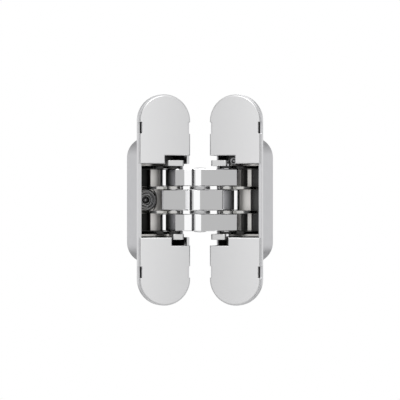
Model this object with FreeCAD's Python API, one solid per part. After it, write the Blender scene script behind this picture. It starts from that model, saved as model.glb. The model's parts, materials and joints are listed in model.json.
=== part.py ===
import FreeCAD, Part
import math
import os

# Concealed door hinge with two leaves, crossed arms and adjustment in three directions.
# Every length is in millimetres and every angle in degrees.
# A leaf is drawn in its own coordinates: u runs from the inner edge to the outer edge,
# v runs from the face into the door, and z runs up. The right leaf keeps these, and the
# left leaf is their mirror image.

# Leaf plate
leaf_height = 95.0
leaf_width = 24.0
cap_thickness = 1.6
flange_thickness = 3.2
cap_inset = 0.45
edge_bevel = 0.35

# Deep housing behind the plate
body_end_flat = 3.8
body_inner_inset = 0.4
body_outer_inset = 0.8
side_wall = 1.15
end_wall = 1.9
floor_thickness = 1.6
window_rim = 1.4
window_cut_depth = 12.5
cutter_margin = 1.0
back_bevel = 0.7

# Opening angle of the two leaves
rest_opening = 150.0
full_opening = 180.0

# Linkage, in leaf coordinates
pivot_u = 6.8
pivot_v = 5.0
main_reach = 13.6
tail_reach = 19.5
closed_angle = 34.0
swing_rate = 1.357
tail_bend = 64.5
path_step = 0.01
arc_count = 4
tolerance = 0.000001

# Arm layers
arm_height = 7.7
layer_gap = 2.4
running_gap = 0.25
cheek_thickness = 1.1
inner_hub_radius = 3.1
outer_hub_radius = 3.9
pivot_hub_radius = 3.6
neck_radius = 1.5
neck_end_radius = 1.35
knuckle_radius = 2.2
groove_radius = 1.1
arm_edge_bevel = 0.3

# Arm outline seen from above: reaches run from the centre pin, fronts lie off the pin line
inner_heel_reach = 4.5
outer_heel_reach = 3.9
heel_round = 0.6
inner_brow_radius = 3.4
inner_brow_shift = 1.55
outer_brow_front = 4.0
outer_brow_radius = 3.0
outer_brow_shift = 1.45
inner_tail_front = 3.2
inner_tail_reach = 10.2
outer_tail_front = 3.7
outer_tail_reach = 11.2
outer_swell_radius = 2.9
outer_swell_reach = 6.2
tail_round = 0.7
link_taper = 0.1
groove_reach = 4.5
groove_front = 3.4
groove_deepening = 2.2

# Pins and washers
arm_pin_radius = 2.0
centre_pin_radius = 2.1
guide_pin_radius = 1.5
pin_clearance = 0.04
slot_clearance = 0.07
washer_radius = 4.6
pin_head_radius = 2.9
pin_head_height = 0.5
pin_end_gap = 0.1
washer_gap = 0.12

# Carriers
boss_wall = 1.4
guide_wall = 1.5
web_gap = 1.82
left_web_thickness = 3.0
right_web_thickness = 2.4
web_corner_step = 1.35
web_rib_u = 13.7
web_frame = 2.5
right_rib_u = 9.7
right_rib_width = 0.9
web_rim = 0.8
stop_start_u = 9.0
stop_end_u = 14.6
guide_gap = 0.3
heel_u = 6.0
heel_radius = 3.0
block_height = 2.6
block_front = 0.8
block_back = 8.6
left_block_start = 2.9
left_upper_block_end = 10.6
left_lower_block_end = 8.2
right_block_start = 0.6
right_upper_block_end = 7.9
right_lower_block_end = 7.4
block_round = 1.0

# Adjustment travel, to each side of the middle
height_travel = 1.4
side_travel = 1.0
depth_travel = 1.0
travel_margin = 0.3
slide_gap = 0.2
ear_gap = 0.1
ear_end_gap = 1.0
slide_end_gap = 1.2

# Adjusting screws
height_screw_wall_gap = 0.95
height_screw_radius = 5.2
height_screw_head = 1.9
height_screw_shank_radius = 2.6
side_screw_u = 9.9
side_screw_radius = 1.7
side_screw_shank_radius = 1.2
side_screw_head = 2.0
depth_screw_radius = 2.5
depth_screw_shank_radius = 1.6
depth_screw_head = 2.4
socket_radius = 1.0
socket_depth = 1.2
screw_clearance = 0.12
screw_bevel = 0.25
side_screw_lift = 1.0
depth_screw_spacing = 6.5
ring_outer_radius = 4.2
ring_inner_radius = 2.8
ring_width = 0.6
ring_depth = 0.6

# Cross slide of the right leaf
slide_thickness = 1.8
ear_width = 8.0
ear_height = 3.6
ear_front = 14.0

# Fixing screw holes and cap pegs
fixing_end_distance = 9.5
fixing_hole_radius = 2.4
countersink_radius = 4.3
countersink_depth = 1.9
access_hole_radius = 1.9
peg_radius = 1.2
peg_length = 2.0
peg_u_offset = 5.4
peg_end_distance = 5.5
cap_skin = 0.8
cap_rim = 1.5

# Cap outline
upper_cap_edge = 16.3
lower_cap_edge = 16.8
upper_notch_u = 12.0
lower_notch_u = 8.8
notch_gap = 0.7
lower_notch_step = 0.5
release_end_distance = 15.1
release_notch_height = 5.2
release_notch_depth = 1.0
release_flange_depth = 0.5
release_flange_front = 1.4

# Worked out from the sizes above
flange_back = cap_thickness + flange_thickness
rest_half = rest_opening / 2
full_half = full_opening / 2
middle_top = arm_height / 2
outer_bottom = middle_top + layer_gap
outer_top = outer_bottom + arm_height
cheek_bottom = outer_top + running_gap
cheek_top = cheek_bottom + cheek_thickness
pocket_inner = body_inner_inset + side_wall
pocket_outer = leaf_width - body_outer_inset - side_wall
body_corner_radius = (leaf_width - body_inner_inset - body_outer_inset - body_end_flat) / 2
pocket_corner = body_corner_radius - side_wall
web_corner_radius = pocket_corner - web_corner_step
height_screw_u = pocket_outer - height_screw_wall_gap - height_screw_radius
fixing_spacing = leaf_height - 2 * fixing_end_distance
peg_z = leaf_height / 2 - peg_end_distance
release_middle = leaf_height / 2 - release_end_distance
release_bottom = release_middle - release_notch_height / 2
release_top = release_middle + release_notch_height / 2
notch_top = cheek_top + block_height + height_travel + notch_gap
lower_notch_top = notch_top + lower_notch_step
side_screw_z = cheek_top + block_height / 2 + side_screw_lift
leaf_middle = leaf_width / 2
slot_radius = guide_pin_radius + slot_clearance
screw_z = side_screw_z + depth_screw_spacing
pocket_half_height = screw_z + ear_height / 2 + ear_end_gap
body_height = 2 * (pocket_half_height + end_wall)
web_half_height = screw_z - ear_height / 2 - ear_gap
slide_half_height = pocket_half_height - slide_end_gap


def vec(x, y, z=0.0):
    """A point or direction."""
    return FreeCAD.Vector(x, y, z)


def arm_angle(half):
    """Angle of the left main arm in its leaf, when each leaf has opened by half."""
    return math.radians(-closed_angle - swing_rate * half)


def centre_point(half):
    """Place of the centre pin in leaf coordinates."""
    angle = arm_angle(half)
    return vec(pivot_u + main_reach * math.cos(angle), pivot_v + main_reach * math.sin(angle))


def guide_point(half):
    """Place of the guide pin of the other arm in leaf coordinates."""
    angle = math.radians(tail_bend - 2 * half) - arm_angle(half)
    reach = vec(tail_reach * math.cos(angle), tail_reach * math.sin(angle))
    return centre_point(half) + reach


def pivot_point():
    """Place of the main arm pin in leaf coordinates."""
    return vec(pivot_u, pivot_v)


# Depths that follow from the deepest place of the guide pin, which is at the closed hinge
web_front = guide_point(0).y + knuckle_radius + web_gap
slide_back = web_front + right_web_thickness + slide_gap
pocket_floor = slide_back + slide_thickness + depth_travel + travel_margin
body_depth = pocket_floor + floor_thickness


def place_left(shape):
    """Mirror a leaf-coordinate shape and set the leaf's middle and seating face on the origin."""
    placed = shape.mirror(vec(0, 0), vec(1, 0))
    placed.translate(vec(leaf_middle, -flange_back))
    return placed


def centre_in_row():
    """Place of the centre pin in the coordinates of the left leaf's middle."""
    centre = centre_point(rest_half)
    return vec(leaf_middle - centre.x, centre.y - flange_back)


def place_right(shape):
    """Turn a leaf-coordinate shape by the rest opening about the shared centre pin."""
    centre = centre_point(rest_half)
    placed = shape.copy()
    placed.translate(vec(-centre.x, -centre.y))
    placed.rotate(vec(0, 0), vec(0, 0, 1), rest_opening - 180)
    placed.translate(centre_in_row())
    return placed


def from_centre(point, side):
    """A leaf point seen from the centre pin, with the opening split evenly to both sides."""
    centre = centre_point(rest_half)
    angle = math.radians(rest_half)
    du = point.x - centre.x
    dv = point.y - centre.y
    across = du * math.sin(angle) + dv * math.cos(angle)
    away = -du * math.cos(angle) + dv * math.sin(angle)
    return vec(side * across, away)


def place_arm(shape):
    """Set a piece drawn about the centre pin into its rest place between the leaves."""
    placed = shape.copy()
    placed.rotate(vec(0, 0), vec(0, 0, 1), (rest_opening - 180) / 2)
    placed.translate(centre_in_row())
    return placed


def disc(point, radius, bottom, top):
    """An upright cylinder."""
    base = vec(point.x, point.y, bottom)
    return Part.makeCylinder(radius, top - bottom, base, vec(0, 0, 1))


def bar(u, z, radius, front, back):
    """A round bar along v."""
    return Part.makeCylinder(radius, back - front, vec(u, front, z), vec(0, 1, 0))


def block(u0, u1, v0, v1, z0, z1):
    """A box between two limits in each direction."""
    return Part.makeBox(u1 - u0, v1 - v0, z1 - z0, vec(u0, v0, z0))


def prism(wire, bottom, top):
    """Extrude a flat outline of the u-v plane upwards."""
    face = Part.Face(wire)
    face.translate(vec(0, 0, bottom))
    return face.extrude(vec(0, 0, top - bottom))


def link_outline(start, start_radius, end, end_radius):
    """Two circles joined by their outer tangents."""
    gap = end - start
    lean = math.atan2(gap.y, gap.x)
    spread = math.acos((start_radius - end_radius) / gap.Length)

    def rim(point, radius, angle):
        return point + vec(radius * math.cos(angle), radius * math.sin(angle))

    left_start = rim(start, start_radius, lean + spread)
    right_start = rim(start, start_radius, lean - spread)
    left_end = rim(end, end_radius, lean + spread)
    right_end = rim(end, end_radius, lean - spread)
    back = rim(start, start_radius, lean + math.pi)
    front = rim(end, end_radius, lean)
    edges = [
        Part.Arc(left_start, back, right_start).toShape(),
        Part.LineSegment(right_start, right_end).toShape(),
        Part.Arc(right_end, front, left_end).toShape(),
        Part.LineSegment(left_end, left_start).toShape(),
    ]
    return Part.Wire(edges)


def link(start, start_radius, end, end_radius, bottom, top):
    """A plate between two round ends."""
    return prism(link_outline(start, start_radius, end, end_radius), bottom, top)


def guide_outline(radius):
    """The path of the guide pin as a chain of arcs, widened by a radius and with round ends."""
    path = [guide_point(full_half * i / (2 * arc_count)) for i in range(2 * arc_count + 1)]
    rims = {1: [], -1: []}
    for i, point in enumerate(path):
        before = guide_point(full_half * i / (2 * arc_count) - path_step)
        after = guide_point(full_half * i / (2 * arc_count) + path_step)
        ahead = (after - before).normalize()
        for side in rims:
            rims[side].append(point + vec(-ahead.y, ahead.x) * radius * side)
    start_back = (guide_point(-path_step) - path[0]).normalize()
    end_ahead = (guide_point(full_half + path_step) - path[-1]).normalize()
    edges = []
    for rim in rims.values():
        for i in range(0, 2 * arc_count, 2):
            edges.append(Part.Arc(rim[i], rim[i + 1], rim[i + 2]).toShape())
    edges.append(Part.Arc(rims[1][0], path[0] + start_back * radius, rims[-1][0]).toShape())
    edges.append(Part.Arc(rims[-1][-1], path[-1] + end_ahead * radius, rims[1][-1]).toShape())
    return Part.Wire(Part.__sortEdges__(edges))


def front_outline(points):
    """A closed outline in the u-z plane from straight runs."""
    corners = [FreeCAD.Vector(u, 0, z) for u, z in points]
    return Part.makePolygon(corners + corners[:1])


def deepen(wire, front, back):
    """Extrude an outline of the u-z plane into the door."""
    face = Part.Face(wire)
    face.translate(vec(0, front))
    return face.extrude(vec(0, back - front))


def rounded_slab(u0, u1, half_height, radius, front, back):
    """A slab with four round corners, seen from the face."""
    slab = block(u0, u1, front, back, -half_height, half_height)
    corners = [edge for edge in slab.Edges if abs(edge.tangentAt(edge.FirstParameter).y) > 0.99]
    return slab.makeFillet(radius, corners)


def pill(inset, front, back):
    """The long plate with half-round ends."""
    radius = leaf_width / 2 - inset
    reach = leaf_height / 2 - leaf_width / 2
    middle = block(inset, leaf_width - inset, front, back, -reach, reach)
    ends = [bar(leaf_middle, side * reach, radius, front, back) for side in (1, -1)]
    return middle.fuse(ends).removeSplitter()


def pick_edges(shape, test):
    """The edges of a shape that pass a test."""
    return [edge for edge in shape.Edges if test(edge)]


def window_cut():
    """The opening of the flange, with the small notches above and below it."""
    outer = leaf_width - window_rim
    past = -cutter_margin
    main = block(past, outer, 0, flange_back, -lower_cap_edge, upper_cap_edge)
    upper = block(past, upper_notch_u - guide_gap, 0, flange_back, 0, notch_top)
    lower = block(past, lower_notch_u - guide_gap, 0, flange_back, -lower_notch_top, 0)
    return main.fuse([upper, lower])


def inner_strips():
    """The thin strips of plate and wall that close the inner side of the notches."""
    upper = block(body_inner_inset, pocket_inner, cap_thickness, flange_back,
                  upper_cap_edge, notch_top + cutter_margin)
    lower = block(body_inner_inset, pocket_inner, cap_thickness, flange_back,
                  -lower_notch_top - cutter_margin, -lower_cap_edge)
    return [upper, lower]


def release_cuts(sign):
    """The two prying notches of a plate end, in the plate's inner and outer edge."""
    low, high = sorted((sign * release_bottom, sign * release_top))
    inner = block(-cutter_margin, release_flange_depth, cap_thickness, flange_back, low, high)
    outer = block(leaf_width - cap_inset - release_notch_depth, leaf_width + cutter_margin,
                  cap_thickness, cap_thickness + release_flange_front, low, high)
    return [inner, outer]


def housing(side):
    """Plate and deep box, cast in one piece."""
    flange = pill(0, cap_thickness, flange_back)
    deep = rounded_slab(body_inner_inset, leaf_width - body_outer_inset, body_height / 2,
                        body_corner_radius, flange_back, body_depth)
    back_edges = pick_edges(deep, lambda e: all(abs(v.Y - body_depth) < tolerance for v in e.Vertexes))
    deep = deep.makeChamfer(back_bevel, back_edges)
    pocket = rounded_slab(pocket_inner, pocket_outer, pocket_half_height,
                          pocket_corner, flange_back, pocket_floor)
    shell = flange.fuse(deep).cut(pocket).cut(window_cut())
    if side == "left":
        shell = shell.fuse(inner_strips())
        doorway_bottom, doorway_top = -lower_cap_edge, upper_cap_edge
    else:
        doorway_bottom, doorway_top = -lower_notch_top, notch_top
    shell = shell.cut(block(-cutter_margin, pocket_inner + cutter_margin, 0, window_cut_depth,
                            doorway_bottom, doorway_top))
    for sign in (1, -1):
        z = sign * fixing_spacing / 2
        hole = bar(leaf_middle, z, fixing_hole_radius, 0, body_depth)
        sink = Part.makeCone(countersink_radius, fixing_hole_radius, countersink_depth,
                             vec(leaf_middle, cap_thickness, z), vec(0, 1, 0))
        access = bar(leaf_middle, sign * screw_z, access_hole_radius, 0, flange_back)
        shell = shell.cut([hole, sink] + release_cuts(sign))
        if side == "right":
            shell = shell.cut(access)
        for across in (-peg_u_offset, peg_u_offset):
            peg_hole = bar(leaf_middle + across, sign * peg_z, peg_radius + screw_clearance,
                           cap_thickness, flange_back)
            shell = shell.cut(peg_hole)
    return shell.removeSplitter()


def cap(edge, notch_u, step):
    """Snap-on cover, drawn for the upper end of the right leaf."""
    radius = leaf_width / 2 - cap_inset
    reach = leaf_height / 2 - leaf_width / 2
    outer = leaf_width - cap_inset
    plate = pill(cap_inset, 0, cap_thickness)
    plate = plate.cut(block(0, leaf_width, 0, cap_thickness, -leaf_height, edge))
    plate = plate.cut(block(0, notch_u, 0, cap_thickness, edge, step))
    front = pick_edges(plate, lambda e: all(abs(v.Y) < tolerance for v in e.Vertexes))
    plate = plate.makeChamfer(edge_bevel, front)
    inner_bite = block(0, cap_inset + release_notch_depth, 0, cap_thickness,
                       release_bottom, release_top)
    outer_bite = block(outer - release_notch_depth, leaf_width, 0, cap_thickness,
                       release_bottom, release_top)
    hollow_radius = radius - cap_rim
    hollow = bar(leaf_middle, reach, hollow_radius, cap_skin, cap_thickness)
    hollow = hollow.fuse(block(leaf_middle - hollow_radius, leaf_middle + hollow_radius,
                               cap_skin, cap_thickness, step + cap_rim, reach))
    plate = plate.cut([inner_bite, outer_bite, hollow])
    for across in (-peg_u_offset, peg_u_offset):
        peg = bar(leaf_middle + across, peg_z, peg_radius, cap_skin, cap_thickness + peg_length)
        plate = plate.fuse(peg)
    return plate.removeSplitter()


def flip(shape):
    """Turn an upper piece into a lower one."""
    return shape.mirror(vec(0, 0), vec(0, 0, 1))


def shelf(bottom, top, has_bore, has_slot):
    """One level plate of a carrier, with the bore of the main pin and the guide slot."""
    heel = vec(heel_u, web_front - heel_radius / 2)
    plate = link(pivot_point(), arm_pin_radius + boss_wall, heel, heel_radius, bottom, top)
    around = slot_radius + guide_wall
    stops = [guide_point(full_half * share) for share in (0, 0.25, 0.5, 0.75, 1)]
    rims = [link(a, around, b, around, bottom, top) for a, b in zip(stops, stops[1:])]
    root = block(heel_u - heel_radius, stops[0].x + around, stops[0].y, web_front, bottom, top)
    plate = plate.fuse(rims + [root])
    if has_bore:
        plate = plate.cut(disc(pivot_point(), arm_pin_radius + pin_clearance, bottom, top))
    if has_slot:
        plate = plate.cut(prism(guide_outline(slot_radius), bottom, top))
    return plate.removeSplitter()


def shelves(side):
    """The four plates of a carrier: two between the arm layers and two outside them."""
    low = middle_top + running_gap
    high = outer_bottom - running_gap
    inner = shelf(low, high, True, True)
    outer = shelf(cheek_bottom, cheek_top, side == "right", side == "left")
    return [inner, flip(inner), outer, flip(outer)]


def left_carrier():
    """Height carrier of the left leaf, with the seat of the height screw."""
    back = web_front + left_web_thickness
    web = rounded_slab(pocket_inner + guide_gap, pocket_outer - guide_gap, web_half_height,
                       web_corner_radius, web_front, back)
    seat = web_front + height_screw_head + guide_gap
    head = bar(height_screw_u, 0, height_screw_radius + screw_clearance, web_front, seat)
    shank = bar(height_screw_u, 0, height_screw_shank_radius + screw_clearance, web_front, back)
    web = web.cut([head, shank])
    low = height_screw_radius + screw_clearance + web_rim
    window = block(web_rib_u, pocket_outer - web_frame, web_front, back, low, outer_top)
    web = web.cut([window, flip(window)])
    return web.fuse(shelves("left")).removeSplitter()


def right_windows(back):
    """The openings of the right web: two beside the stop block and a tall one at the outer wall."""
    rib_end = stop_end_u - right_rib_width
    upper = block(right_rib_u, rib_end - right_rib_width, web_front, back,
                  middle_top + web_rim, outer_top)
    tall = block(stop_end_u, pocket_outer - web_frame, web_front, back, -outer_top, outer_top)
    return [upper, flip(upper), tall]


def right_carrier():
    """Side carrier of the right leaf, with its stop block between the outer arms."""
    back = web_front + right_web_thickness
    margin = side_travel + travel_margin
    web = rounded_slab(pocket_inner + margin, pocket_outer - margin, web_half_height,
                       web_corner_radius, web_front, back)
    stop_front = guide_point(0).y + knuckle_radius + travel_margin
    stop = block(stop_start_u, stop_end_u, stop_front, web_front, -middle_top, middle_top)
    bore = bar(side_screw_u, side_screw_z, side_screw_shank_radius + pin_clearance,
               web_front, back)
    web = web.cut(right_windows(back))
    return web.fuse(shelves("right") + [stop]).cut(bore).removeSplitter()


def end_block(start, end, bored):
    """Satin block on the outer face of a carrier, drawn for the upper end."""
    piece = block(start, end, block_front, block_back, cheek_top, cheek_top + block_height)
    uprights = pick_edges(piece, lambda e: abs(e.tangentAt(e.FirstParameter).z) > 0.99
                          and e.Vertexes[0].Y < block_front + tolerance)
    piece = piece.makeFillet(block_round, uprights)
    if bored:
        depth = cheek_top + block_height / 2
        piece = piece.cut(disc(pivot_point(), arm_pin_radius + pin_clearance, cheek_top, depth))
    return piece


def beside(end, reach, out):
    """A point of an arm: a reach from the centre pin towards an end, and out to its front."""
    toward = vec(end.x, end.y).normalize()
    facing = vec(math.copysign(toward.y, end.x), -abs(toward.x))
    return toward * reach + facing * out


def main_web(pivot, hub_radius, heel_reach, bottom, top):
    """The stout half of an arm, from the centre pin to its own leaf, with a square heel."""
    web = link(vec(0, 0), hub_radius, pivot, pivot_hub_radius, bottom, top)
    heel = beside(pivot, main_reach + heel_reach - heel_round, pivot_hub_radius - heel_round)
    return web.fuse(link(pivot, pivot_hub_radius, heel, heel_round, bottom, top))


def brow_point(pivot, radius, shift, front):
    """Middle of the round front of a hub, whose flat side starts a shift short of the pin."""
    return beside(pivot, -shift, front - radius)


def neck(tail, knuckle, bottom, top):
    """The slim end of a tail, with the knuckle that holds the guide pin."""
    bar_part = link(tail, neck_radius, knuckle, neck_end_radius, bottom, top)
    return bar_part.fuse(disc(knuckle, knuckle_radius, bottom, top))


def finish_arm(body, pivot, knuckle, bottom, top):
    """Bevel the rims of an arm and bore it for its three pins."""
    body = body.removeSplitter()
    rims = pick_edges(body, lambda e: all(abs(v.Z - top) < tolerance for v in e.Vertexes)
                      or all(abs(v.Z - bottom) < tolerance for v in e.Vertexes))
    body = body.makeChamfer(arm_edge_bevel, rims)
    for spot, radius in ((vec(0, 0), centre_pin_radius), (pivot, arm_pin_radius),
                         (knuckle, guide_pin_radius)):
        body = body.cut(disc(spot, radius + pin_clearance, bottom, top))
    return body


def inner_arm(bottom, top):
    """The middle arm, pinned in the left leaf, with a deep groove beside its hub."""
    pivot = from_centre(pivot_point(), -1)
    knuckle = from_centre(guide_point(rest_half), 1)
    mirrored = vec(-pivot.x, pivot.y)
    tail = beside(mirrored, inner_tail_reach - tail_round, inner_tail_front - tail_round)
    front = brow_point(mirrored, inner_brow_radius, inner_brow_shift, inner_tail_front)
    body = main_web(pivot, inner_hub_radius, inner_heel_reach, bottom, top)
    mouth = beside(pivot, groove_reach, groove_front + groove_radius)
    depth = beside(pivot, groove_reach, groove_front + groove_radius - groove_deepening)
    body = body.cut(link(depth, groove_radius - link_taper, mouth, groove_radius, bottom, top))
    body = body.fuse([
        link(front, inner_brow_radius, tail, tail_round, bottom, top),
        neck(beside(mirrored, inner_tail_reach - tail_round - neck_radius, 0), knuckle, bottom, top),
    ])
    return finish_arm(body, pivot, knuckle, bottom, top)


def outer_arm(bottom, top):
    """One of the two outer arms, pinned in the right leaf, with a swell beside its hub."""
    pivot = from_centre(pivot_point(), 1)
    knuckle = from_centre(guide_point(rest_half), -1)
    mirrored = vec(-pivot.x, pivot.y)
    swell = beside(mirrored, outer_swell_reach, outer_tail_front - outer_swell_radius)
    tail = beside(mirrored, outer_tail_reach - tail_round, outer_tail_front - tail_round)
    front = brow_point(pivot, outer_brow_radius, outer_brow_shift, outer_brow_front)
    body = main_web(pivot, outer_hub_radius, outer_heel_reach, bottom, top)
    body = body.fuse([
        link(front, outer_brow_radius, pivot, pivot_hub_radius, bottom, top),
        link(vec(0, 0), outer_swell_radius + link_taper, swell, outer_swell_radius, bottom, top),
        link(swell, outer_swell_radius, tail, tail_round, bottom, top),
        neck(beside(mirrored, outer_tail_reach - tail_round - neck_radius, 0), knuckle, bottom, top),
    ])
    return finish_arm(body, pivot, knuckle, bottom, top)


def centre_pin():
    """Long pin through all three arms, with a low head at each end."""
    half = outer_top + washer_gap / 2
    pin = disc(vec(0, 0), centre_pin_radius, -half, half)
    heads = [disc(vec(0, 0), pin_head_radius, half, half + pin_head_height)]
    heads.append(flip(heads[0]))
    return pin.fuse(heads).removeSplitter()


def centre_washers():
    """Two washers that keep the three arms apart."""
    low = middle_top + washer_gap
    ring = disc(vec(0, 0), washer_radius, low, outer_bottom - washer_gap)
    bore = disc(vec(0, 0), centre_pin_radius + pin_clearance, 0, outer_bottom)
    ring = ring.cut(bore)
    return Part.makeCompound([ring, flip(ring)])


def guide_pin_short(bottom, top):
    """A guide pin at the tail of an outer arm."""
    point = from_centre(guide_point(rest_half), -1)
    return disc(point, guide_pin_radius, bottom, top)


def left_guide_pins():
    """One pin for each outer arm, from the shelf below it to the cheek above it."""
    low = middle_top + running_gap + pin_end_gap
    upper = guide_pin_short(low, cheek_top - pin_end_gap)
    return Part.makeCompound([upper, flip(upper)])


def right_guide_pin():
    """The pin at the tail of the inner arm, between the two inner shelves."""
    point = from_centre(guide_point(rest_half), 1)
    half = outer_bottom - running_gap - pin_end_gap
    return disc(point, guide_pin_radius, -half, half)


def left_arm_pin():
    """The pin of the inner arm in the left leaf."""
    half = outer_bottom - running_gap
    return disc(pivot_point(), arm_pin_radius, -half, half)


def right_arm_pins():
    """The pins of the outer arms, each from its inner shelf into the block above its cheek."""
    upper = disc(pivot_point(), arm_pin_radius, middle_top + running_gap,
                 cheek_top + block_height / 2 - pin_end_gap)
    return Part.makeCompound([upper, flip(upper)])


def hexagon_socket(u, z, radius, front, depth):
    """The recess for a hexagon key."""
    corners = [(u + radius * math.cos(math.radians(60 * i)),
                z + radius * math.sin(math.radians(60 * i))) for i in range(6)]
    return deepen(front_outline(corners), front, front + depth)


def screw(u, z, head_radius, head_front, head_length, shank_radius, end):
    """Round-headed adjusting screw along v with a hexagon socket."""
    head = bar(u, z, head_radius, head_front, head_front + head_length)
    rim = pick_edges(head, lambda e: all(abs(v.Y - head_front) < tolerance for v in e.Vertexes)
                     and e.Length > head_radius)
    head = head.makeChamfer(screw_bevel, rim)
    shank = bar(u, z, shank_radius, head_front + head_length, end)
    socket = hexagon_socket(u, z, socket_radius, head_front, socket_depth)
    return head.fuse(shank).cut(socket).removeSplitter()


def height_screw():
    """Wide screw head with raised rings, seated in the left carrier."""
    front = web_front + guide_gap
    end = pocket_floor - guide_gap
    piece = screw(height_screw_u, 0, height_screw_radius, front, height_screw_head,
                  height_screw_shank_radius, end)
    for radius in (ring_outer_radius, ring_inner_radius):
        outer = bar(height_screw_u, 0, radius, front, front + ring_depth)
        inner = bar(height_screw_u, 0, radius - ring_width, front, front + ring_depth)
        piece = piece.cut(outer.cut(inner))
    return piece


def side_screw():
    """The screw that holds and shifts the right carrier on its cross slide."""
    end = slide_back + slide_thickness - pin_end_gap
    return screw(side_screw_u, side_screw_z, side_screw_radius,
                 flange_back + depth_travel + guide_gap, side_screw_head,
                 side_screw_shank_radius, end)


def depth_screw():
    """The screw that draws one end of the cross slide forward, reached under a cap."""
    return screw(leaf_middle, screw_z, depth_screw_radius, flange_back + guide_gap,
                 depth_screw_head, depth_screw_shank_radius, slide_back)


def cross_slide():
    """Plate behind the right carrier, with an ear for each depth screw."""
    back = slide_back + slide_thickness
    plate = rounded_slab(pocket_inner + guide_gap, pocket_outer - guide_gap, slide_half_height,
                         web_corner_radius, slide_back, back)
    ear = block(leaf_middle - ear_width / 2, leaf_middle + ear_width / 2, ear_front, slide_back,
                screw_z - ear_height / 2, screw_z + ear_height / 2)
    hole = bar(leaf_middle, screw_z, depth_screw_shank_radius + screw_clearance, ear_front, back)
    ears = [ear.cut(hole), flip(ear.cut(hole))]
    half_slot = side_screw_shank_radius + screw_clearance
    reach = side_travel + half_slot
    slot = block(side_screw_u - reach, side_screw_u + reach, slide_back, back,
                 side_screw_z - half_slot, side_screw_z + half_slot)
    return plate.fuse(ears).cut([slot, hole, flip(hole)]).removeSplitter()


def save(name, shape):
    """Write a piece and print its state."""
    shape.exportStep(os.path.join("parts", name + ".step"))
    print(name, "solids", len(shape.Solids), "valid", shape.isValid(), "volume", round(shape.Volume, 2))


def build():
    """Make every piece and write it in its rest place."""
    upper_cap = cap(upper_cap_edge, upper_notch_u, notch_top)
    lower_cap = flip(cap(lower_cap_edge, lower_notch_u, lower_notch_top))
    left = {
        "left_housing": housing("left"),
        "left_upper_cap": upper_cap,
        "left_lower_cap": lower_cap,
        "left_carrier": left_carrier(),
        "left_upper_block": end_block(left_block_start, left_upper_block_end, False),
        "left_lower_block": flip(end_block(left_block_start, left_lower_block_end, False)),
        "left_arm_pin": left_arm_pin(),
        "height_screw": height_screw(),
    }
    right = {
        "right_housing": housing("right"),
        "right_upper_cap": upper_cap,
        "right_lower_cap": lower_cap,
        "right_carrier": right_carrier(),
        "right_upper_block": end_block(right_block_start, right_upper_block_end, True),
        "right_lower_block": flip(end_block(right_block_start, right_lower_block_end, True)),
        "right_arm_pins": right_arm_pins(),
        "side_screw": side_screw(),
        "cross_slide": cross_slide(),
        "upper_depth_screw": depth_screw(),
        "lower_depth_screw": flip(depth_screw()),
    }
    arms = {
        "inner_arm": inner_arm(-middle_top, middle_top),
        "upper_arm": outer_arm(outer_bottom, outer_top),
        "lower_arm": outer_arm(-outer_top, -outer_bottom),
        "centre_pin": centre_pin(),
        "centre_washers": centre_washers(),
        "left_guide_pins": left_guide_pins(),
        "right_guide_pin": right_guide_pin(),
    }
    for name, shape in left.items():
        save(name, place_left(shape))
    for name, shape in right.items():
        save(name, place_right(shape))
    for name, shape in arms.items():
        save(name, place_arm(shape))


os.makedirs("parts", exist_ok=True)
build()
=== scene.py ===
# %% [markdown]
# This lesson dresses a concealed door hinge: two pill-shaped leaves that sit in the edges of a
# door and its frame, and three crossed arms that fold away between them when the door shuts.
# The construction comes packed from CAD as a fixed frame. Here every surface gets its finish, and
# the pieces whose edges catch the light are made again with finely rounded rims.

# %% Load the fixed frame
import json
import math
import bmesh
import bpy
import numpy as np
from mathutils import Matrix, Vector

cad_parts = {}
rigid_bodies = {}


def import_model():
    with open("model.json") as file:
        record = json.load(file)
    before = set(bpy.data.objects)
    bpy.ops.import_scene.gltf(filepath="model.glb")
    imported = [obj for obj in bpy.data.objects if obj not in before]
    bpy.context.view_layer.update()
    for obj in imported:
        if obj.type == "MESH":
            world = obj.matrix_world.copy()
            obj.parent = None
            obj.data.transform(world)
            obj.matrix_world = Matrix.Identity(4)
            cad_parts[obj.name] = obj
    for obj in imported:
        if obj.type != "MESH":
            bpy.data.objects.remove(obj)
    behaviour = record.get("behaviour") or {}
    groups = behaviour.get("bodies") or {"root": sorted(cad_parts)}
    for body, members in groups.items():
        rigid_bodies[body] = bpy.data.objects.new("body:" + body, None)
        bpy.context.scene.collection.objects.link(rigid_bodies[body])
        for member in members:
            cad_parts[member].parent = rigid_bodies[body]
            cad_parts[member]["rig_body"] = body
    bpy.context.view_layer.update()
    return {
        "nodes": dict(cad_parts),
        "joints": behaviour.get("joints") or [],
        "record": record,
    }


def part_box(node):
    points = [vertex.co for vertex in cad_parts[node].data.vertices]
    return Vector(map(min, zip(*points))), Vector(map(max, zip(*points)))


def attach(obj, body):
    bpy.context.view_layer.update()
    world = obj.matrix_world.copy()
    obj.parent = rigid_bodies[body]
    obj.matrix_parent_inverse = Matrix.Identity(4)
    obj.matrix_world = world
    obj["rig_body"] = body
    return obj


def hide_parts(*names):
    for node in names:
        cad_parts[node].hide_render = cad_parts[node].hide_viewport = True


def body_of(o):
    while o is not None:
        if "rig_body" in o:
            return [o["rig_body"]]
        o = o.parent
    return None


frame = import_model()
joints = {joint["name"]: joint for joint in frame["joints"]}

# %% [markdown]
# Each leaf has its own directions. On the left leaf they are the row's own: the face looks along
# -Y and the inner edge is at its +X side. The right leaf is turned by its opening, and the slide
# joints of its two adjustments run exactly along its width and its depth, so they give its axes.

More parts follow.
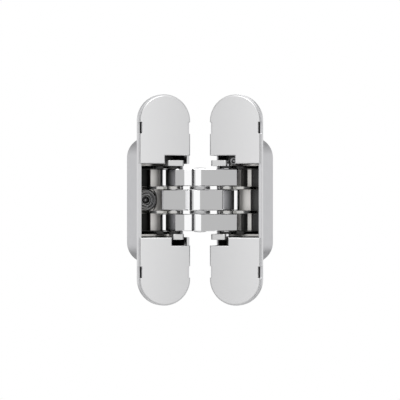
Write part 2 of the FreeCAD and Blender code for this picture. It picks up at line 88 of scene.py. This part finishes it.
# %% The directions of both leaves
UP = Vector((0, 0, 1))
left_depth = Vector((0, 1, 0))
left_across = Vector((-1, 0, 0))
right_across = Vector(joints["side_adjust"]["axis"])
right_depth = Vector(joints["depth_adjust"]["axis"])
opening_turn = math.atan2(right_across.y, right_across.x)
centre_axis = Vector(joints["arm_cross"]["pos_m"])
view_turn = opening_turn / 2
print("right leaf turned by", round(math.degrees(opening_turn), 2), "degrees")

# %% [markdown]
# The photograph looks straight at the centre pin, with both leaves opened evenly to its two
# sides, through a long lens from far away. So the camera stands on the line that halves the
# opening. It aims a little behind the pin, and the frame shows 180.7 mm there.

# %% Camera
camera_distance = 1.1
shown_width = 0.1807
sensor_mm = 36
aim_behind_pin = 0.008
look = Vector((-math.sin(view_turn), math.cos(view_turn), 0))
target = Vector((centre_axis.x, centre_axis.y, 0)) + look * aim_behind_pin
camera_data = bpy.data.cameras.new("long_lens")
camera_data.sensor_width = sensor_mm
camera_data.lens = sensor_mm * camera_distance / shown_width
camera = bpy.data.objects.new("camera", camera_data)
camera.location = target - look * camera_distance
camera.rotation_euler = look.to_track_quat("-Z", "Y").to_euler()
bpy.context.scene.collection.objects.link(camera)
bpy.context.scene.camera = camera
bpy.context.scene.view_settings.view_transform = "Standard"
print("lens", round(camera_data.lens, 1), "mm")

# %% [markdown]
# A material is a small tree of nodes. Every finish of this hinge could be drawn by hand in the node
# editor. Two helpers do it here, one that starts a material with its shader and one that adds a
# node, so that each finish below reads as a few lines.

# %% Helpers for node materials
def new_material(name, color, metallic, roughness):
    """A material with one Principled shader, whose constants are set on its own sockets."""
    material = bpy.data.materials.new(name)
    material.use_nodes = True
    tree = material.node_tree
    shader = tree.nodes["Principled BSDF"]
    shader.inputs["Base Color"].default_value = (*color, 1)
    shader.inputs["Metallic"].default_value = metallic
    shader.inputs["Roughness"].default_value = roughness
    return material, tree, shader


def add(tree, kind, **values):
    """A node of that kind with some of its sockets or settings filled in."""
    node = tree.nodes.new(kind)
    for key, value in values.items():
        if key in node.inputs:
            node.inputs[key].default_value = value
        else:
            setattr(node, key, value)
    return node


print("helpers:", new_material.__name__, add.__name__)

# %% [markdown]
# Satin chrome on die-cast zinc is a bright metal with a fine, even tooth. Under a loupe the tooth
# is a shallow grain, so the roughness wanders a little with one noise and the normals tremble
# with a finer one. Both read Object coordinates, which stay with the piece when it moves. The
# scales count waves per metre.

# %% Satin finishes
soft_scale = 260.0
soft_detail = 3.0
grain_scale = 9000.0
grain_detail = 2.0
grain_strength = 0.5
grain_depth = 0.000004
polish_depth = 0.000001


def satin(name, color, roughness, spread=0.05, grain=grain_scale, depth=grain_depth):
    """Satin metal: roughness plus or minus spread by a soft noise, and a fine grain as bump."""
    material, tree, shader = new_material(name, color, 1.0, roughness)
    place = add(tree, "ShaderNodeTexCoord")
    soft = add(tree, "ShaderNodeTexNoise", Scale=soft_scale, Detail=soft_detail)
    tree.links.new(place.outputs["Object"], soft.inputs["Vector"])
    level = add(tree, "ShaderNodeMapRange")
    level.inputs["To Min"].default_value = roughness - spread
    level.inputs["To Max"].default_value = roughness + spread
    tree.links.new(soft.outputs["Fac"], level.inputs["Value"])
    tree.links.new(level.outputs["Result"], shader.inputs["Roughness"])
    fine = add(tree, "ShaderNodeTexNoise", Scale=grain, Detail=grain_detail)
    tree.links.new(place.outputs["Object"], fine.inputs["Vector"])
    bump = add(tree, "ShaderNodeBump", Strength=grain_strength, Distance=depth)
    tree.links.new(fine.outputs["Fac"], bump.inputs["Height"])
    tree.links.new(bump.outputs["Normal"], shader.inputs["Normal"])
    return material


finishes = {
    "block_satin": satin("block_satin", color=(0.64, 0.64, 0.64), roughness=0.34),
    "screw_steel": satin("screw_steel", color=(0.30, 0.30, 0.305), roughness=0.22),
    "pin_steel": satin("pin_steel", color=(0.80, 0.80, 0.81), roughness=0.14),
    "arm_chrome": satin("arm_chrome", color=(0.96, 0.96, 0.965), roughness=0.07,
                        spread=0.02, depth=polish_depth),
}
print("finishes:", sorted(finishes))

# %% [markdown]
# Some parts carry two finishes on one casting, with the border at a known place in the leaf. Such a
# border could be a second material on chosen faces. Here a material measures the point itself,
# along a direction of the leaf, and compares it with levels, so it needs no choice of faces.

# %% Measures inside a material
def math_node(tree, operation, first, second=0.0):
    """A math node on two inputs, each a socket or a number."""
    node = add(tree, "ShaderNodeMath", operation=operation)
    for socket, value in zip(node.inputs, (first, second)):
        if isinstance(value, float):
            socket.default_value = value
        else:
            tree.links.new(value, socket)
    return node.outputs["Value"]


def product(tree, *factors):
    """All factors multiplied in their order."""
    result = factors[0]
    for factor in factors[1:]:
        result = math_node(tree, "MULTIPLY", result, factor)
    return result


def between(tree, value, low, high):
    """1 where the value lies between two levels and 0 elsewhere."""
    return product(tree, math_node(tree, "GREATER_THAN", value, low),
                   math_node(tree, "LESS_THAN", value, high))


def along(tree, origin, direction):
    """How far a point of the surface lies from an origin along a direction."""
    place = add(tree, "ShaderNodeTexCoord")
    shift = add(tree, "ShaderNodeVectorMath", operation="SUBTRACT")
    shift.inputs[1].default_value = origin
    tree.links.new(place.outputs["Object"], shift.inputs[0])
    dot = add(tree, "ShaderNodeVectorMath", operation="DOT_PRODUCT")
    dot.inputs[1].default_value = direction
    tree.links.new(shift.outputs["Vector"], dot.inputs[0])
    return dot.outputs["Value"]


def mixed_color(tree, share, plain, other):
    """The plain colour at share 0 and the other at share 1. Each is a socket or three numbers."""
    mix = add(tree, "ShaderNodeMix", data_type="RGBA")
    colors = [socket for socket in mix.inputs if socket.type == "RGBA"]
    for socket, color in zip(colors, (plain, other)):
        if isinstance(color, tuple):
            socket.default_value = (*color, 1)
        else:
            tree.links.new(color, socket)
    tree.links.new(share, mix.inputs["Factor"])
    return next(socket for socket in mix.outputs if socket.type == "RGBA")


def share_between(tree, value, start, end):
    """0 before the start, 1 after the end, and even in between."""
    ramp = add(tree, "ShaderNodeMapRange")
    ramp.inputs["From Min"].default_value = start
    ramp.inputs["From Max"].default_value = end
    tree.links.new(value, ramp.inputs["Value"])
    return ramp.outputs["Result"]


print("measures:", product.__name__, between.__name__, along.__name__, share_between.__name__)

# %% [markdown]
# The deep box is cast. Down in the pocket and in the small release slots at the plate's rim the
# shade is painted: one material measures a point along the leaf's width, depth and height and
# takes a near-black painted shade where all three lie inside the walls or inside a slot. The box
# is painted a little darker than the plate, a painted shade for its sides.

# %% Housing finish with painted shade in the pocket
plate_color = (0.62, 0.62, 0.63)
# painted shade: the box is coloured a little darker than the plate
box_painted_shade_color = (0.465, 0.465, 0.48)
# painted shade: the near-black colour of the pocket and the release slots
pocket_painted_shade_color = (0.03, 0.03, 0.03)
housing_roughness = 0.34
wall_middle_radius = 0.0089
corner_middle_width = 0.0019
corner_middle_height = 0.0193
pocket_mouth = 0.0050
pocket_end = 0.0272
mouth_fade = 0.004
slot_front = 0.00165
slot_back = 0.00305
slot_floor = 0.0106
slot_rim = 0.0112
slot_bottom = 0.02975
slot_top = 0.03505


def housing_satin(name, origin, across, depth):
    """Satin outside, with the box painted a shade darker. A point is in the pocket where its
    distance from the core of the rounded box is less than the middle of the wall, and its depth lies
    between mouth and floor; there and in the slots the colour is a painted shade."""
    material = satin(name, plate_color, housing_roughness)
    tree = material.node_tree
    width = math_node(tree, "ABSOLUTE", along(tree, origin, across))
    height = math_node(tree, "ABSOLUTE", along(tree, origin, UP))
    into = along(tree, origin, depth)
    beyond = [
        math_node(tree, "MAXIMUM", math_node(tree, "SUBTRACT", reach, core), 0.0)
        for reach, core in ((width, corner_middle_width), (height, corner_middle_height))
    ]
    squares = [math_node(tree, "MULTIPLY", reach, reach) for reach in beyond]
    distance = math_node(tree, "SQRT", math_node(tree, "ADD", *squares))
    inside = product(tree, math_node(tree, "LESS_THAN", distance, wall_middle_radius),
                     math_node(tree, "LESS_THAN", into, pocket_end),
                     share_between(tree, into, pocket_mouth, pocket_mouth + mouth_fade))
    in_slot = product(tree, between(tree, into, slot_front, slot_back),
                      between(tree, width, slot_floor, slot_rim),
                      between(tree, height, slot_bottom, slot_top))
    on_box = math_node(tree, "GREATER_THAN", into, pocket_mouth)
    color = mixed_color(tree, on_box, plate_color, box_painted_shade_color)
    # the pocket and the slots take the painted shade
    for painted_shade_place in (in_slot, inside):
        color = mixed_color(tree, painted_shade_place, color, pocket_painted_shade_color)
    tree.links.new(color, tree.nodes["Principled BSDF"].inputs["Base Color"])
    return material


half_plate = 0.012
plate_back = 0.0048
pivot_across = 0.0068
pivot_into = 0.0050
body_middle = 0.0118
left_face = Vector((half_plate - body_middle, -plate_back, 0.0))
right_face = Vector(joints["right_swing"]["pos_m"])
right_face = right_face + right_across * (body_middle - pivot_across) - right_depth * pivot_into
right_face.z = 0
node_finish = {
    "left_housing": housing_satin("left_housing_satin", left_face, left_across, left_depth),
    "right_housing": housing_satin("right_housing_satin", right_face, right_across, right_depth),
}
print("face middles", tuple(left_face), tuple(right_face))

# %% [markdown]
# The caps get very slightly darker from the outer to the inner edge. The carriers are pressed and
# ground: their shelves are bright, while the web at the back has a rougher skin and is painted
# paler, a painted light that keeps it bright in the shade of the arms. The outermost shelves and
# the ends of the web are dark in the photograph, where the plate shades them. This open studio
# gives less shade, so they are painted dark.
#
# What a polished web shows is decided by where it faces. Whether the real web is bowed can't be
# told from the photograph, and a bowed one could be modelled. Here it stays flat, as packed, and a
# bump that changes evenly across the leaf turns only its shading by about 8 degrees, away from the
# backs of the arms.

# %% Cap and carrier finishes
cap_inner_color = (0.635, 0.635, 0.64)
cap_outer_color = (0.735, 0.735, 0.74)
cap_roughness = 0.36
cap_grain = 7000.0
web_depth = 0.0185
shelf_color = (0.55, 0.545, 0.53)
# painted light: the web is paler than the shelves so that it stays bright in the arms' shade
web_painted_light_color = (0.64, 0.625, 0.605)
# painted shade: the outermost shelves and the ends of the web
end_shelf_painted_shade_color = (0.04, 0.04, 0.04)
shelf_roughness = 0.16
web_roughness = 0.28
web_slope = 0.14
end_shelf_low = 0.0139
end_shelf_high = 0.0156
web_end = 0.0166


def cap_satin(name, origin, across):
    """Satin whose colour goes evenly from the inner edge to the outer edge of the leaf."""
    material = satin(name, cap_outer_color, cap_roughness, grain=cap_grain)
    tree = material.node_tree
    share = share_between(tree, along(tree, origin, across), -half_plate, half_plate)
    color = mixed_color(tree, share, cap_inner_color, cap_outer_color)
    tree.links.new(color, tree.nodes["Principled BSDF"].inputs["Base Color"])
    return material


def carrier_satin(name, origin, across, depth):
    """Bright shelves. Deeper than the web's face the skin is rougher and the colour paler, a painted
    light. The outermost shelf at each end, between two heights, and the ends of the web are painted
    dark as shade. The bump's height falls by the web's slope for each length across the leaf."""
    material = satin(name, shelf_color, shelf_roughness)
    tree = material.node_tree
    shader = tree.nodes["Principled BSDF"]
    height = math_node(tree, "ABSOLUTE", along(tree, origin, UP))
    on_web = math_node(tree, "GREATER_THAN", along(tree, origin, depth), web_depth)
    color = mixed_color(tree, on_web, shelf_color, web_painted_light_color)
    in_painted_end_shade = math_node(tree, "ADD", between(tree, height, end_shelf_low, end_shelf_high),
                       math_node(tree, "GREATER_THAN", height, web_end))
    tree.links.new(mixed_color(tree, in_painted_end_shade, color, end_shelf_painted_shade_color), shader.inputs["Base Color"])
    rough_web = product(tree, on_web, math_node(tree, "LESS_THAN", height, end_shelf_high))
    extra = product(tree, rough_web, web_roughness - shelf_roughness)
    tree.links.new(math_node(tree, "ADD", extra, shelf_roughness), shader.inputs["Roughness"])
    fall = product(tree, along(tree, origin, across), -web_slope)
    slope = add(tree, "ShaderNodeBump", Strength=1.0, Distance=1.0)
    tree.links.new(product(tree, rough_web, fall), slope.inputs["Height"])
    tree.links.new(shader.inputs["Normal"].links[0].from_socket, slope.inputs["Normal"])
    tree.links.new(slope.outputs["Normal"], shader.inputs["Normal"])
    return material


for side_name, face, across, depth in (("left", left_face, left_across, left_depth),
                                       ("right", right_face, right_across, right_depth)):
    caps = cap_satin(side_name + "_cap_satin", face, across)
    carrier = carrier_satin(side_name + "_carrier_satin", face, across, depth)
    node_finish[side_name + "_upper_cap"] = caps
    node_finish[side_name + "_lower_cap"] = caps
    node_finish[side_name + "_carrier"] = carrier
print("finishes by node:", sorted(node_finish))

# %% [markdown]
# Two small parts differ from the rest of their slot. The slide behind the right carrier is painted
# near black, a painted shade for the dark place behind the carrier, and the washers in the spaces
# between the arms are coloured a darker grey than the arms. So the slide and the washers get
# finishes of their own.

# %% Slide and washer finishes
# painted shade: the slide is near black where the pocket behind the right carrier lies in shade
node_finish["cross_slide"] = satin("slide_painted_shade", color=(0.08, 0.08, 0.08), roughness=0.3)
node_finish["centre_washers"] = satin("washer_steel", color=(0.46, 0.46, 0.465), roughness=0.2)
print("slide and washers:", node_finish["cross_slide"].name, node_finish["centre_washers"].name)

# %% [markdown]
# Every CAD node carries the name of its slot in the record, so one loop dresses them all. A node
# with a finish of its own takes that one.

# %% Dress the CAD nodes
slot_of = {entry["node"]: entry["material_slot"] for entry in frame["record"]["subparts"]}


def finish_of(name):
    """The node's own finish, or else the one of its slot."""
    return node_finish.get(name) or finishes[slot_of[name]]


for name, node in frame["nodes"].items():
    node.data.materials.clear()
    node.data.materials.append(finish_of(name))
print("dressed nodes:", len(frame["nodes"]))

# %% [markdown]
# On the hinge in the photograph the middle arm is taller than the outer two, and the layers lie
# close together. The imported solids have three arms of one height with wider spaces. The place to
# change that is the CAD. Here the copies below are changed, by a map of heights: the middle arm
# reaches 4.7 mm up and down instead of 3.85 mm, and the shelves and washers between it and the
# outer arms get thinner by as much. Every piece of that layer takes the same map, so none meets
# another, and nothing from 6.25 mm on moves.

# %% Heights of the middle layer
packed_heights = (0.0, 0.00385, 0.00625, 1.0)
real_heights = (0.0, 0.0047, 0.00625, 1.0)
middle_layer = ("inner_arm", "left_carrier", "right_carrier", "centre_washers",
                "left_arm_pin", "left_guide_pins", "right_arm_pins", "right_guide_pin")


def real_height(heights):
    """A straight line between each pair of listed heights, the same above and below the middle."""
    return np.sign(heights) * np.interp(np.abs(heights), packed_heights, real_heights)


def node_points(name):
    """The corner points of a CAD node as rows of x, y, z."""
    mesh = frame["nodes"][name].data
    points = np.empty(len(mesh.vertices) * 3)
    mesh.vertices.foreach_get("co", points)
    return points.reshape(-1, 3)


print("middle arm", 2000 * real_heights[1], "mm high, packed", 2000 * packed_heights[1], "mm")

# %% [markdown]
# Cast and plated zinc has no sharp edge anywhere: each one carries a tiny round, and that round is
# what draws the thin bright lines in the photograph. A copy of the CAD solid is merged, its flat
# faces are made whole again, and a Bevel rounds what is left of the edges. Apart from the heights
# of the middle layer, the copy keeps the solid's exact place and size.

# %% Copies with rounded edges
merge_distance = 0.0000005
flat_angle = math.radians(0.4)
sharp_angle = math.radians(30)
round_segments = 2
face_weight = 90


def rounded(name, width):
    """The node's own surface with its sharp edges rounded to a width."""
    node = frame["nodes"][name]
    mesh = node.data.copy()
    if name in middle_layer:
        points = node_points(name)
        points[:, 2] = real_height(points[:, 2])
        mesh.vertices.foreach_set("co", points.ravel())
    soup = bmesh.new()
    soup.from_mesh(mesh)
    bmesh.ops.remove_doubles(soup, verts=soup.verts, dist=merge_distance)
    bmesh.ops.dissolve_limit(soup, angle_limit=flat_angle, verts=soup.verts,
                             edges=soup.edges, use_dissolve_boundaries=False)
    bmesh.ops.recalc_face_normals(soup, faces=soup.faces)
    loose = sum(1 for edge in soup.edges if not edge.is_manifold)
    soup.to_mesh(mesh)
    faces = len(soup.faces)
    soup.free()
    mesh.polygons.foreach_set("use_smooth", np.ones(len(mesh.polygons), dtype=bool))
    piece = bpy.data.objects.new(name + "_finished", mesh)
    bpy.context.scene.collection.objects.link(piece)
    bevel = piece.modifiers.new("edge_round", "BEVEL")
    bevel.width = width
    bevel.segments = round_segments
    bevel.limit_method = "ANGLE"
    bevel.angle_limit = sharp_angle
    bevel.use_clamp_overlap = True
    shading = piece.modifiers.new("flat_faces", "WEIGHTED_NORMAL")
    shading.mode = "FACE_AREA"
    shading.weight = face_weight
    shading.keep_sharp = True
    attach(piece, body_of(node)[0])
    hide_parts(name)
    print(piece.name, "faces", faces, "open edges", loose)


edge_rounds = {
    "left_housing": 0.00025, "right_housing": 0.00025,
    "left_upper_cap": 0.00012, "left_lower_cap": 0.00012,
    "right_upper_cap": 0.00012, "right_lower_cap": 0.00012,
    "inner_arm": 0.00014, "upper_arm": 0.00014, "lower_arm": 0.00014,
    "left_carrier": 0.00010, "right_carrier": 0.00010,
    "left_upper_block": 0.0002, "left_lower_block": 0.0002,
    "right_upper_block": 0.0002, "right_lower_block": 0.0002,
    "cross_slide": 0.0001,
}
for name, width in edge_rounds.items():
    rounded(name, width)

# %% [markdown]
# Pins, washers and screws are turned on a lathe, so each is one profile carried round an axis.
# The profile lists radius and height from the first end to the last. Its rounded rims are short
# arcs, worked out with numpy like the rest. A hexagon socket is the same surface, with its rings
# drawn to six sides.

# %% Turned surfaces
turned_sides = 96
rim_steps = np.linspace(0.0, 1.0, 5)
nearly_upright = 0.9


def rim(radius, height, size, first, last):
    """A quarter arc in the profile: centre (radius, height), swept between two angles in degrees."""
    angle = np.radians(first + (last - first) * rim_steps)
    return np.column_stack([radius + size * np.cos(angle), height + size * np.sin(angle)])


def turned(start, axis, profile, six_sided=()):
    """Points start + axis * height + (right * cos + up * sin) * radius round the axis. A profile
    that starts at radius 0 closes in two poles, and any other closes in itself as a ring. In
    rings listed as six-sided the radius follows a hexagon: cos 30 / cos(angle from a flat)."""
    axis = np.array(axis, dtype=float)
    axis /= np.linalg.norm(axis)
    helper = (0.0, 0.0, 1.0) if abs(axis[2]) < nearly_upright else (1.0, 0.0, 0.0)
    right = np.cross(helper, axis)
    right /= np.linalg.norm(right)
    up = np.cross(axis, right)
    profile = np.asarray(profile, dtype=float)
    solid = profile[0, 0] == 0
    rings = profile[1:-1] if solid else profile
    angle = np.linspace(0.0, 2 * np.pi, turned_sides, endpoint=False)
    from_flat = np.mod(angle, np.pi / 3) - np.pi / 6
    factor = np.ones((len(rings), turned_sides))
    if len(six_sided):
        factor[list(six_sided)] = np.cos(np.pi / 6) / np.cos(from_flat)
    circle = np.cos(angle)[:, None] * right + np.sin(angle)[:, None] * up
    radius = (rings[:, 0:1] * factor)[:, :, None]
    points = np.asarray(start) + rings[:, None, 1:2] * axis + radius * circle[None]
    points = points.reshape(-1, 3)
    rows = len(rings) - 1 if solid else len(rings)
    row = np.arange(rows)[:, None] * turned_sides
    ahead = (np.arange(rows)[:, None] + 1) % len(rings) * turned_sides
    step = np.arange(turned_sides)[None]
    after = (step + 1) % turned_sides
    quads = np.stack([row + step, row + after, ahead + after, ahead + step], axis=-1).reshape(-1, 4)
    faces = quads.tolist()
    if solid:
        poles = np.asarray(start) + profile[[0, -1], 1:2] * axis
        first, last = len(points), len(points) + 1
        top = (len(rings) - 1) * turned_sides
        points = np.vstack([points, poles])
        ring = np.arange(turned_sides)
        turn = (ring + 1) % turned_sides
        faces += np.column_stack([np.full(turned_sides, first), turn, ring]).tolist()
        faces += np.column_stack([np.full(turned_sides, last), top + ring, top + turn]).tolist()
    return points, faces


def turned_piece(node_name, surfaces):
    """One piece from several turned surfaces, standing for a CAD node and riding on its body."""
    offset = 0
    all_points, all_faces = [], []
    for points, faces in surfaces:
        all_points.append(points)
        all_faces += [[corner + offset for corner in face] for face in faces]
        offset += len(points)
    points = np.vstack(all_points)
    if node_name in middle_layer:
        points[:, 2] = real_height(points[:, 2])
    mesh = bpy.data.meshes.new(node_name + "_turned")
    mesh.from_pydata(points.tolist(), [], all_faces)
    mesh.polygons.foreach_set("use_smooth", np.ones(len(mesh.polygons), dtype=bool))
    mesh.materials.append(finish_of(node_name))
    piece = bpy.data.objects.new(node_name + "_turned", mesh)
    bpy.context.scene.collection.objects.link(piece)
    shading = piece.modifiers.new("flat_faces", "WEIGHTED_NORMAL")
    shading.mode = "FACE_AREA"
    shading.weight = face_weight
    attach(piece, body_of(frame["nodes"][node_name])[0])
    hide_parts(node_name)
    print(piece.name, "faces", len(all_faces))


def rod_profile(radius, low, high, size):
    """A plain pin: flat ends and a rounded rim at each."""
    return np.vstack([[(0, low)], rim(radius - size, low + size, size, -90, 0),
                      rim(radius - size, high - size, size, 0, 90), [(0, high)]])


def upright_span(name, side):
    """Lowest and highest height of a node's points on the upper (1) or lower (-1) side."""
    heights = node_points(name)[:, 2]
    heights = heights[heights * side > 0]
    return float(heights.min()), float(heights.max())


def upright_middle(name):
    """The middle of a node's box at height 0."""
    low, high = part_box(name)
    return np.array([(low[0] + high[0]) / 2, (low[1] + high[1]) / 2, 0.0])


print("turned surfaces have", turned_sides, "sides")

# %% [markdown]
# The centre pin is a rivet: its two heads are low domes. The washers on it are plain rings with
# broken rims. The guide pins are dowels, and the pins of the outer arms are two dowels that end
# in the satin blocks. All could be cylinders with a Bevel. A profile gives each rim its true arc.

# %% Pins and washers
pin_rim = 0.00022
pin_radius = 0.0021
head_height = 0.0005
bore_radius = 0.00214
dome_steps = 9
up_axis = (0, 0, 1)
centre = upright_middle("centre_pin")
low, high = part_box("centre_pin")
head_radius = (high[0] - low[0]) / 2
head_start = high[2] - head_height
dome = np.radians(np.linspace(0, 90, dome_steps))
upper_head = np.column_stack([head_radius * np.cos(dome),
                              head_start + head_height * np.sin(dome)])
lower_head = upper_head[::-1] * (1, -1)
rivet = np.vstack([[(0, low[2])], lower_head[1:], [(pin_radius, -head_start)],
                   [(pin_radius, head_start)], upper_head[:-1], [(0, high[2])]])
turned_piece("centre_pin", [turned(centre, up_axis, rivet)])

washer_low, washer_high = upright_span("centre_washers", 1)
low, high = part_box("centre_washers")
washer_radius = (high[0] - low[0]) / 2
washers = []
for sign in (1, -1):
    near, far = sorted((washer_low * sign, washer_high * sign))
    ring = np.vstack([rim(washer_radius - pin_rim, near + pin_rim, pin_rim, -90, 0),
                      rim(washer_radius - pin_rim, far - pin_rim, pin_rim, 0, 90),
                      [(bore_radius, far)], [(bore_radius, near)]])
    washers.append(turned(centre, up_axis, ring))
turned_piece("centre_washers", washers)

for name, in_two in (("left_guide_pins", True), ("right_arm_pins", True),
                     ("right_guide_pin", False), ("left_arm_pin", False)):
    low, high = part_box(name)
    spans = [upright_span(name, sign) for sign in (1, -1)] if in_two else [(low[2], high[2])]
    profiles = [rod_profile((high[0] - low[0]) / 2, *span, pin_rim) for span in spans]
    turned_piece(name, [turned(upright_middle(name), up_axis, profile) for profile in profiles])

# %% [markdown]
# The adjusting screws look out of the leaves. The height screw is a wide disc with three raised
# rings round its socket, which show as thin bright circles on a dark ground. The others have a
# plain head with a rounded rim and a hexagon socket. Sockets could be cut with a Boolean. Here they
# are part of the profile, so the faces stay even.

# %% Adjusting screws
socket_radius = 0.001
socket_depth = 0.0012
head_rim = 0.00025
ring_radii = (0.0019, 0.0033, 0.0045)
ring_half_width = 0.0003
ring_height = 0.00022
ring_steps = 7


def screw_profile(front, head_radius, head_length, shank_radius, end, rings=()):
    """From the socket's floor out over the head and back along the shank, with heights that run
    into the leaf. Each ring is a half ellipse over its middle radius on the head's face."""
    socket_end = front + socket_depth
    face = [(0, socket_end), (socket_radius, socket_end), (socket_radius, front)]
    arc = np.radians(np.linspace(180, 0, ring_steps))
    for middle in rings:
        face += list(zip(middle + ring_half_width * np.cos(arc), front - ring_height * np.sin(arc)))
    edge = rim(head_radius - head_rim, front + head_rim, head_rim, -90, 0)
    shank = [(head_radius, front + head_length), (shank_radius, front + head_length),
             (shank_radius, end), (0, end)]
    return np.vstack([face, edge, shank])


def screw_piece(name, joint, head_radius, head_length, shank_radius, rings=()):
    """A screw on its joint's axis, from its own front to its own end."""
    start = np.array(joints[joint]["pos_m"])
    inward = -np.array(joints[joint]["axis"])
    depths = (node_points(name) - start) @ inward
    profile = screw_profile(depths.min(), head_radius, head_length, shank_radius,
                            depths.max(), rings)
    turned_piece(name, [turned(start, inward, profile, six_sided=(0, 1))])


screw_piece("height_screw", "height_screw_turn", head_radius=0.0052, head_length=0.0019,
            shank_radius=0.0026, rings=ring_radii)
screw_piece("side_screw", "side_screw_turn", head_radius=0.0017, head_length=0.0020,
            shank_radius=0.0012)
for end_name in ("upper", "lower"):
    screw_piece(end_name + "_depth_screw", end_name + "_depth_screw_turn", head_radius=0.0025,
                head_length=0.0024, shank_radius=0.0016)

# %% [markdown]
# The studio is white. For camera and glossy rays the world has a strength of 1, so the background
# is white and the metal mirrors it. The light that falls on matt surfaces comes from a weaker
# world and one soft lamp.

# %% World
matt_strength = 0.6
seen_strength = 1.0
world = bpy.data.worlds.new("white_studio")
world.use_nodes = True
bpy.context.scene.world = world
sky = world.node_tree
background = sky.nodes["Background"]
path = add(sky, "ShaderNodeLightPath")
seen = add(sky, "ShaderNodeMath", operation="MAXIMUM")
sky.links.new(path.outputs["Is Camera Ray"], seen.inputs[0])
sky.links.new(path.outputs["Is Glossy Ray"], seen.inputs[1])
strength = add(sky, "ShaderNodeMapRange")
strength.inputs["To Min"].default_value = matt_strength
strength.inputs["To Max"].default_value = seen_strength
sky.links.new(seen.outputs["Value"], strength.inputs["Value"])
sky.links.new(strength.outputs["Result"], background.inputs["Strength"])
background.inputs["Color"].default_value = (1, 1, 1, 1)
print("world:", world.name)

# %% [markdown]
# The hinge floats in front of white in the photograph. A pale floor far below it gives the other
# views a ground without throwing anything on the metal from near by.

# %% Floor
floor_level = -0.2
floor_reach = 0.6
floor_color = (0.9, 0.9, 0.9)
floor_corners = [(x * floor_reach, y * floor_reach, floor_level)
                 for x, y in ((-1, -1), (1, -1), (1, 1), (-1, 1))]
floor_mesh = bpy.data.meshes.new("floor")
floor_mesh.from_pydata(floor_corners, [], [(0, 1, 2, 3)])
floor = bpy.data.objects.new("floor", floor_mesh)
bpy.context.scene.collection.objects.link(floor)
floor_mesh.materials.append(new_material("floor", floor_color, 0.0, 1.0)[0])
print("floor at", floor_level, "m")

# %% [markdown]
# Polished metal shows its surroundings, so in an all-white room it would vanish. A photographer
# stands cards just outside the picture. Here a grey and a black card stand at each side, which give
# the arms' flats their grey and their edges the dark lines. Two darker grey cards behind the hinge,
# above and below it, show in the edges that face up or down. The camera doesn't see any of them.
# The side cards are given by their start and end in degrees from the camera and by their level.

# %% Cards
card_distance = 0.9
card_height = 0.9
side_cards = {"grey_card_": (50, 70, 0.50), "black_card_": (74, 100, 0.02)}
back_card_near = 0.12
back_card_far = 0.42
back_card_reach = 0.45
back_card_level = 0.25
side = Vector((math.cos(view_turn), math.sin(view_turn), 0))


def card(name, corners, level):
    """A flat studio card through its corners, with one grey level whatever light falls on it."""
    mesh = bpy.data.meshes.new(name)
    mesh.from_pydata([tuple(corner) for corner in corners], [], [tuple(range(len(corners)))])
    piece = bpy.data.objects.new(name, mesh)
    bpy.context.scene.collection.objects.link(piece)
    material, _, shader = new_material(name, (0, 0, 0), 0.0, 1.0)
    shader.inputs["Specular IOR Level"].default_value = 0.0
    shader.inputs["Emission Color"].default_value = (level, level, level, 1)
    shader.inputs["Emission Strength"].default_value = 1.0
    mesh.materials.append(material)
    piece.visible_camera = False
    print(name, "level", level)


def toward(degrees):
    """A direction in the level plane, turned away from the camera by some degrees."""
    turn = math.radians(degrees)
    return side * math.sin(turn) - look * math.cos(turn)


def upright_card(name, start, end, level):
    """A card that stands between two directions seen from the hinge."""
    first = target + toward(start) * card_distance
    last = target + toward(end) * card_distance
    high = UP * card_height
    card(name, [first - high, last - high, last + high, first + high], level)


for sign, side_name in ((-1, "left"), (1, "right")):
    for card_name, (start, end, level) in side_cards.items():
        upright_card(card_name + side_name, sign * start, sign * end, level)
back = target + look * card_distance
back_left, back_right = back - side * back_card_reach, back + side * back_card_reach
for sign, end_name in ((-1, "lower"), (1, "upper")):
    near, far = UP * sign * back_card_near, UP * sign * back_card_far
    card("back_card_" + end_name,
         [back_left + near, back_right + near, back_right + far, back_left + far], back_card_level)

# %% [markdown]
# One soft area lamp stands above the camera and in front of the hinge, as a softbox would. It
# gives the satin caps their even light.

# %% Lamp
lamp_height = 0.9
lamp_forward = 0.7
lamp_size = 0.7
lamp_power = 6.0
lamp_offset = UP * lamp_height - look * lamp_forward
lamp_data = bpy.data.lights.new("top_front", "AREA")
lamp_data.size = lamp_size
lamp_data.energy = lamp_power
lamp = bpy.data.objects.new("top_front", lamp_data)
lamp.location = target + lamp_offset
lamp.rotation_euler = (-lamp_offset).to_track_quat("-Z", "Y").to_euler()
bpy.context.scene.collection.objects.link(lamp)
print("lamp", lamp_data.energy, "W")
